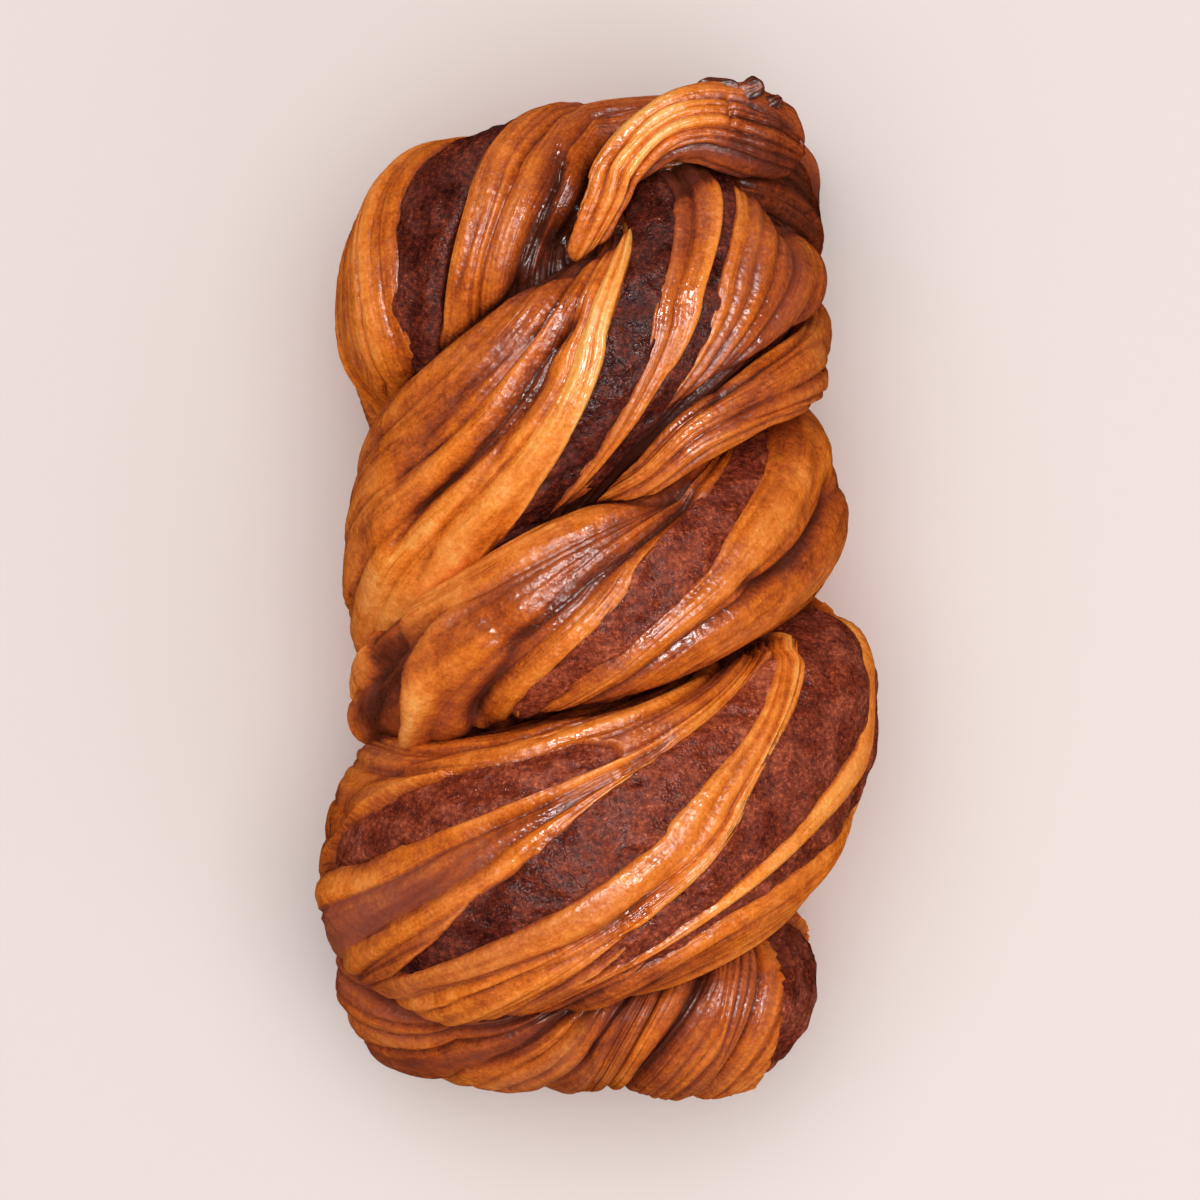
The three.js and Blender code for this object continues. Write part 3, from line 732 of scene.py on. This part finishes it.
def in_layers(strand, u, angle, half):
    """Layer of each point, that layer's width, the point's share across it and its lay across the strand."""
    edges = layer_edges(strand, u)
    last = len(strand["layers"]) - 1
    index = np.sum(angle[:, None] >= edges, axis=1) - 1
    before, after = index < 0, index >= last
    layer, rows = np.clip(index, 0, last - 1), np.arange(len(u))
    lower = np.where(after, edges[:, -1], edges[rows, layer])
    lower = np.where(before, edges[:, 0] - SPARE_LAYER, lower)
    upper = np.where(after, edges[:, -1] + SPARE_LAYER, edges[rows, layer + 1])
    upper = np.where(before, edges[:, 0], upper)
    width = np.radians(upper - lower) * half
    share = (angle - lower) / (upper - lower)
    widest = np.max(layer_widths(strand), axis=0)
    start = np.concatenate([[0.0], np.cumsum(widest)])
    lay = np.where(after, start[-1] + share * width, start[layer] + share * widest[layer])
    lay = np.where(before, (share - 1) * width, lay)
    return np.where(after, last, layer), width, np.mod(share, 1), lay


def relief(strand, u, angle):
    """Height, tone, stain, lay and run of a strand's skin: ridges, creases, laminae, grooves for filling,
    with painted shade in its hollows and seams.
    """
    _, half, _, _, _, speed = directions(strand, u)
    layers, stations, seed = strand["layers"], strand["stations"], strand["seed"]
    index, width, share, lay = in_layers(strand, u, angle, half)
    run = u * np.mean(speed)
    between, rows = np.clip(u, stations[0], stations[-1]), np.arange(len(u))
    tone, stain = (
        np.stack([through(stations, layer[mark], between) for layer in layers], axis=-1)[rows, index]
        for mark in ("tone", "stain")
    )
    patches = smooth(*STAIN_FROM, lattice(seed + STAIN_SEED, lay / STAIN_WIDTH, run / STAIN_LENGTH))
    stain = stain * (STAIN_LEAST + (1 - STAIN_LEAST) * patches)
    tone = tone + TONE_UNEVEN * (lattice(seed + TONE_SEED, lay / TONE_WIDTH, run / TONE_LENGTH) - 0.5)
    flat = 1 - SIDE_FLATNESS * smooth(*SIDE_FROM, u)
    height = flat * np.minimum(RIDGE_SHARE * width, RIDGE_LIMIT) * np.sin(np.pi * share) ** RIDGE_ROUNDNESS
    height += LUMP_HEIGHT * (lattice(seed + LUMP_SEED, lay / LUMP_SIZE, run / LUMP_SIZE) - 0.5)
    from_edge = np.minimum(share, 1 - share) * width
    broken = EDGE_LEAST + (1 - EDGE_LEAST) * lattice(seed + EDGE_SEED, lay / EDGE_WIDTH, run / EDGE_LENGTH)
    cut = np.exp(-from_edge / EDGE_CREASE_WIDTH) * broken
    height -= EDGE_CREASE_DEPTH * cut
    # Darker in the creases at the layers' edges: painted shade.
    tone += EDGE_CREASE_PAINTED_SHADE * cut
    wavy = lay + WAVER * (lattice(seed + WAVER_SEED, lay / WAVER_WIDTH, run / WAVER_LENGTH) - 0.5)
    for number, (across, along, sharpness, depth, dark) in enumerate(LAMINAE):
        wave = lattice(seed + LAMINAE_SEED + number, wavy / across, run / along)
        valley = (1 - np.abs(2 * wave - 1)) ** sharpness
        height -= depth * valley
        # Darker in the laminae's valleys and lighter on their ridges: painted shade and painted light.
        tone += dark * (valley - LAMINAE_SHADE_LEVEL)
    sway = SWAY * (lattice(seed + SWAY_SEED, run / SWAY_LENGTH, lay / SWAY_WIDTH) - 0.5)
    for depth, crease_width, line in strand["creases"]:
        line_u, line_angle = zip(*line)
        centre = through(line_u, line_angle, u)
        rise = through(line_u, line_angle, u + COURSE_STEP) - centre
        pitch = np.radians(rise) / COURSE_STEP * half / speed
        away = np.radians(angle - centre) * half / np.hypot(1, pitch) + sway
        along_line = fade(line_u[0], line_u[-1], CREASE_FADE, u)
        cut = along_line * np.exp(-np.abs(away) / crease_width)
        dale = along_line * np.exp(-(away / crease_width / DALE_SHARE) ** 2)
        height -= depth * (CREASE_SHARPNESS * cut + (1 - CREASE_SHARPNESS) * dale)
        # Darker along the crease: painted shade in it.
        tone += np.minimum(CREASE_PAINTED_SHADE * depth, CREASE_PAINTED_SHADE_LIMIT) * cut
    for k, layer in enumerate(layers):
        if layer["node"] is None:
            continue
        centre, open_half, shown = opening(strand, k, u)
        along_edges = (angle > centre) * RAGGED_SIDES + lay / RAGGED_WIDTH
        ragged = RAGGED * (lattice(seed + RAGGED_SEED + k, along_edges, run / RAGGED_LENGTH) - 0.5)
        inside = np.radians(open_half - np.abs(angle - centre)) * half + ragged
        groove = shown * smooth(0, GROOVE_WALL, inside)
        lip = shown * np.exp(np.minimum(inside, 0) / LIP_WIDTH) * (inside < 0)
        height = height * (1 - groove) - GROOVE_DEPTH * groove + LIP_HEIGHT * lip
        # Dark in the grooves for filling: painted shade on their walls.
        tone = tone * (1 - groove) + GROOVE_PAINTED_SHADE * groove - LIP_TONE * lip
    for depth, line in strand["hooks"]:
        line_angle, line_u = zip(*line)
        beyond = (u - through(line_angle, line_u, angle)) * speed
        upto = fade(line_angle[0], line_angle[-1], HOOK_FADE, angle)
        hollow = upto * smooth(0, HOOK_WALL, beyond) * (1 - smooth(HOOK_REACH / 2, HOOK_REACH, beyond))
        lip = upto * np.exp(-((beyond + HOOK_WALL) / HOOK_WALL) ** 2)
        height += lip - depth * hollow
        # Darker in the hook's hollow: painted shade.
        tone += HOOK_PAINTED_SHADE * hollow - LIP_TONE * lip
    gap = np.maximum(room(strand, skin(strand, u, angle, np.zeros_like(u))), 0)
    seam = np.exp(-gap / (SEAM_SHARE * half)) * (1 - smooth(*strand["parting"], u))
    height -= SEAM_DEPTH * seam
    # Darker near the seams with the other strands: painted shade where the strands meet.
    tone += SEAM_PAINTED_SHADE * seam
    return height, {"tone": tone, "stain": stain, "lay": lay, "run": run}


def column_angles(strand, u, turn):
    """Angle round a strand of each point, so that the columns of points follow the layers' edges."""
    first, last, back_share = strand["flow"]
    stations = strand["stations"]
    widths = np.mean(layer_widths(strand)[:, first:last], axis=0)
    places = np.concatenate([[0.0], np.cumsum(widths), [np.sum(widths) * (1 + back_share)]])
    places /= places[-1]
    followed = np.clip(u, stations[0] - FLOW_PAST, stations[-1] + FLOW_PAST)
    edges = layer_edges(strand, followed)[:, first:last + 1]
    middle, span = (edges[:, :1] + edges[:, -1:]) / 2, edges[:, -1:] - edges[:, :1]
    edges = middle + (edges - middle) * np.minimum(1, FLOW_LIMIT / span)
    edges = np.concatenate([edges, edges[:, :1] + 360], axis=1)
    place = turn / (2 * np.pi) + 0.5
    k = np.clip(np.searchsorted(places, place, side="right") - 1, 0, len(places) - 2)
    s = (place - places[k]) / (places[k + 1] - places[k])
    rows = np.arange(len(u))
    return np.mod(edges[rows, k] * (1 - s) + edges[rows, k + 1] * s + 180, 360) - 180


for strand in STRANDS:
    mesh, share, turn = round_mesh(strand["name"] + "_strand", *strand["mesh"])
    u = strand["span"][0] + share * (strand["span"][1] - strand["span"][0])
    angle = column_angles(strand, u, turn)
    height, marks = relief(strand, u, angle)
    dough_piece(placed(mesh, skin(strand, u, angle, height), STRAND_BASE, **marks))

# Burnt flakes
# Thin shards of dough at the end of the tucked strand, where its outermost layer tore. They stood nearest
# the heat, so they curled up and burnt nearly black.
FLAKES = (
    ((26.5, 108.8, 75.4), (9.0, 2.8, 1.2), -4.0, 4.0),
    ((33.5, 108.0, 75.4), (6.2, 4.4, 2.4), 10.0, 6.0),
    ((38.4, 105.4, 72.8), (4.6, 2.8, 1.8), 24.0, -10.0),
    ((43.9, 96.0, 65.5), (4.6, 3.2, 2.8), 80.0, 10.0),
)
FLAKE_MESH = (40, 40)
FLAKE_CORNER, FLAKE_CURL, FLAKE_TONE = 2.4, 0.02, 0.9
FLAKE_SEED, FLAKE_RAGGED, FLAKE_LUMPS, FLAKE_SHIFT, FLAKE_LUMPS_ALONG = 900, 0.9, 3, 9, 5


def swung(first, second, degrees):
    """Two coordinates swung round by an angle in their plane."""
    cos, sin = math.cos(math.radians(degrees)), math.sin(math.radians(degrees))
    return first * cos - second * sin, first * sin + second * cos


for number, (place, (length, width, thickness), heading, lift) in enumerate(FLAKES, 1):
    mesh, share, turn = round_mesh("burnt_flake_%d" % number, *FLAKE_MESH)
    ring = rounded(np.sin(np.pi * share), FLAKE_CORNER)
    lumps = lattice(
        FLAKE_SEED + number,
        FLAKE_LUMPS * np.cos(turn) + FLAKE_SHIFT,
        FLAKE_LUMPS * np.sin(turn) + FLAKE_LUMPS_ALONG * share,
    )
    ragged = 1 + FLAKE_RAGGED * (lumps - 0.5)
    along = length / 2 * rounded(np.cos(np.pi * share), FLAKE_CORNER)
    across = width / 2 * ring * ragged * np.sin(turn)
    up = thickness / 2 * ring * ragged * np.cos(turn) + FLAKE_CURL * along**2
    along, up = swung(along, up, lift)
    along, across = swung(along, across, heading)
    points = np.array(place) + np.stack([along, across, up], axis=-1)
    dough_piece(placed(
        mesh, points, tone=FLAKE_TONE * ragged, stain=np.zeros(len(share)),
        lay=points[:, 2], run=points[:, 0],
    ))

# Fillings
# Cinnamon sugar and butter, spread on the dough before it was rolled. Each piece is the open edge of one
# layer, melted and set again in the oven, dark and grainy, sunk in its groove along the strand.
FILLING_DEPTH, FILLING_BELOW, FILLING_SPARE, FILLING_SINK = 5.0, 0.6, 1.0, 3.0
FILLING_CORNER, FILLING_BLUNTNESS = 5.0, 6.0
FILLING_CROWDING = 0.5
FILLING_MESH = (200, 130)
CLUMPS = ((4.5, 0.9), (2.2, 0.9), (1.2, 0.5))
CLUMP_SEED, CLUMP_PAINTED_LIGHT = 20, 0.12
GRAIN_NOISE, CRYSTAL_NOISE = (900.0, 3.0), (1500.0, 2.0)
SUGAR_NOISE, PATCH_NOISE = (2200.0, 0.0), (150.0, 3.0)
GRAIN_TONE, PATCH_TONE, SUGAR_AND_GLINT_TONE = 0.9, 0.6, 0.2
SUGAR_LIMIT, SUGAR_CONTRAST = 0.6, 8.0
MATT_CONTRAST, MATT_SHIFT = 5.0, -2.1
MELTED_ROUGHNESS, MATT_ROUGHENING = 0.14, 0.6
FILLING_SPECULAR = 0.15
FILLING_BUMP, FILLING_BUMP_DEPTH, GRAIN_BUMP = 0.9, 0.4, 0.25
FILLING_TONES = (
    (0.00, (0.025, 0.005, 0.004)),
    (0.25, (0.085, 0.014, 0.009)),
    (0.50, (0.21, 0.034, 0.014)),
    (0.75, (0.43, 0.086, 0.034)),
    (1.00, (0.70, 0.21, 0.09)),
)


def filling_material():
    """Dark cinnamon sugar with paler grains and pale specks that are partly painted glints, matt in patches
    and glossy where it melted.
    """
    material = bpy.data.materials.new("cinnamon filling")
    material.use_nodes = True
    tree = material.node_tree
    shader = tree.nodes["Principled BSDF"]
    place = tree.nodes.new("ShaderNodeTexCoord").outputs["Object"]
    grain = noise_node(tree, *GRAIN_NOISE, place)
    crystal = noise_node(tree, *CRYSTAL_NOISE, place)
    patch = noise_node(tree, *PATCH_NOISE, place)
    # Pale specks of sugar grains, made bright enough to stand in for glints too: partly painted highlights.
    sugar = math_node(tree, "SUBTRACT", noise_node(tree, *SUGAR_NOISE, place), SUGAR_LIMIT)
    sugar = clamped(tree, "MULTIPLY", sugar, SUGAR_CONTRAST)
    tone = uneven_tone(tree, (grain, GRAIN_TONE), (patch, PATCH_TONE))
    tone = math_node(tree, "MULTIPLY_ADD", sugar, SUGAR_AND_GLINT_TONE, tone)
    tree.links.new(toned(tree, FILLING_TONES, tone), shader.inputs["Base Color"])
    matt = clamped(tree, "MULTIPLY_ADD", patch, MATT_CONTRAST, MATT_SHIFT)
    roughness = math_node(tree, "MULTIPLY_ADD", matt, MATT_ROUGHENING, MELTED_ROUGHNESS)
    tree.links.new(roughness, shader.inputs["Roughness"])
    shader.inputs["Specular IOR Level"].default_value = FILLING_SPECULAR
    rough = math_node(tree, "MULTIPLY_ADD", grain, GRAIN_BUMP, crystal)
    bumped(tree, shader, rough, FILLING_BUMP, FILLING_BUMP_DEPTH)
    return material


FILLING = filling_material()


def filling_piece(strand, k):
    """The ribbon of filling in layer k of a strand."""
    layer = strand["layers"][k]
    mesh, share, turn = round_mesh(layer["node"] + "_ribbon", *FILLING_MESH)
    first, final = layer["stretch"]
    u = first + share * (final - first)
    middle, open_half, shown = opening(strand, k, u)
    _, half, _, _, _, speed = directions(strand, u)
    rise = opening(strand, k, u + COURSE_STEP)[0] - middle
    slope = np.radians(rise) / COURSE_STEP * half / speed
    length = np.hypot(1, slope)
    wide = half * np.radians(open_half) / length + FILLING_SPARE
    taper = blunted(share, FILLING_BLUNTNESS)
    turned = turn - FILLING_CROWDING * np.sin(turn)
    sideways, up = (rounded(way, FILLING_CORNER) for way in (np.sin(turned), np.cos(turned)))
    across = sideways * taper * wide / length
    place = u - slope * across / speed
    angle = middle + np.degrees(across / half)
    height = -FILLING_BELOW - FILLING_SINK * (1 - shown) - FILLING_DEPTH / 2 * (1 - up * taper)
    side, run = across * length, u * np.mean(speed)
    first_tone, final_tone = layer["filling_tone"]
    tone = first_tone + share * (final_tone - first_tone)
    for number, (size, depth) in enumerate(CLUMPS):
        clump = lattice(strand["seed"] + k + CLUMP_SEED + number, side / size, run / size) - 0.5
        height += shown * np.maximum(up * taper, 0) * depth * clump
        # Lighter on the raised clumps and darker between them: painted light and shade.
        tone += CLUMP_PAINTED_LIGHT * clump
    piece = placed(mesh, skin(strand, place, angle, height), tone=tone)
    piece.data.materials.append(FILLING)
    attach(piece, "root")
    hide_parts(layer["node"])


for strand in STRANDS:
    for k, layer in enumerate(strand["layers"]):
        if layer["node"] is not None:
            filling_piece(strand, k)

# Floor, light and camera
# A plain pale floor under wide soft lamps, with small lamps that only gleam on the syrup, and a camera that
# looks straight down on the loaf.
FLOOR_HALF = 2.0
FLOOR_COLOUR = (0.78, 0.70, 0.675, 1.0)
FLOOR_ROUGHNESS, FLOOR_SPECULAR = 0.8, 0.1
bm = bmesh.new()
bmesh.ops.create_grid(bm, x_segments=1, y_segments=1, size=FLOOR_HALF)
floor_mesh = bpy.data.meshes.new("floor")
bm.to_mesh(floor_mesh)
bm.free()
floor = bpy.data.objects.new("floor", floor_mesh)
bpy.context.scene.collection.objects.link(floor)
floor_material = bpy.data.materials.new("pale floor")
floor_material.use_nodes = True
floor_shader = floor_material.node_tree.nodes["Principled BSDF"]
floor_shader.inputs["Base Color"].default_value = FLOOR_COLOUR
floor_shader.inputs["Roughness"].default_value = FLOOR_ROUGHNESS
floor_shader.inputs["Specular IOR Level"].default_value = FLOOR_SPECULAR
floor_mesh.materials.append(floor_material)
floor.visible_glossy = False

LOAF_MIDDLE = Vector((0.0, 0.0, 0.05))
SKY_COLOUR, SKY_STRENGTH = (1.0, 0.97, 0.94, 1.0), 0.42
LAMPS = (
    ("softbox", Vector((-0.03, 0.12, 1.3)), 1.6, 14.5, True, False),
    ("window", Vector((-0.10, 0.36, 1.0)), 0.2, 2.4, False, True),
    ("reflector", Vector((0.6, -0.6, 0.5)), 0.9, 2.0, True, False),
    ("sparkle", Vector((-0.06, 0.30, 1.0)), 0.16, 6.0, False, True),
    ("spark", Vector((0.32, -0.05, 1.0)), 0.16, 3.0, False, True),
)
for name, lamp_place, size, power, lights, glints in LAMPS:
    lamp_data = bpy.data.lights.new(name, "AREA")
    lamp_data.shape = "DISK"
    lamp_data.size = size
    lamp_data.energy = power
    lamp = bpy.data.objects.new(name, lamp_data)
    lamp.location = lamp_place
    lamp.rotation_euler = (LOAF_MIDDLE - lamp_place).to_track_quat("-Z", "Y").to_euler()
    lamp.visible_diffuse = lights
    lamp.visible_glossy = glints
    bpy.context.scene.collection.objects.link(lamp)
world = bpy.data.worlds.new("studio")
world.use_nodes = True
world.node_tree.nodes["Background"].inputs["Color"].default_value = SKY_COLOUR
world.node_tree.nodes["Background"].inputs["Strength"].default_value = SKY_STRENGTH
bpy.context.scene.world = world
world.cycles_visibility.glossy = False
bpy.context.scene.view_settings.view_transform = "Standard"

CAMERA_HEIGHT = 1.0
CAMERA_ACROSS = (0.88, -0.21)
VIEW_WIDTH, VIEW_LEVEL = 0.267, 0.045
camera_data = bpy.data.cameras.new("camera")
camera_data.lens = camera_data.sensor_width * (CAMERA_HEIGHT - VIEW_LEVEL) / VIEW_WIDTH
camera = bpy.data.objects.new("camera", camera_data)
camera.location = (CAMERA_ACROSS[0] * MM, CAMERA_ACROSS[1] * MM, CAMERA_HEIGHT)
bpy.context.scene.collection.objects.link(camera)
bpy.context.scene.camera = camera
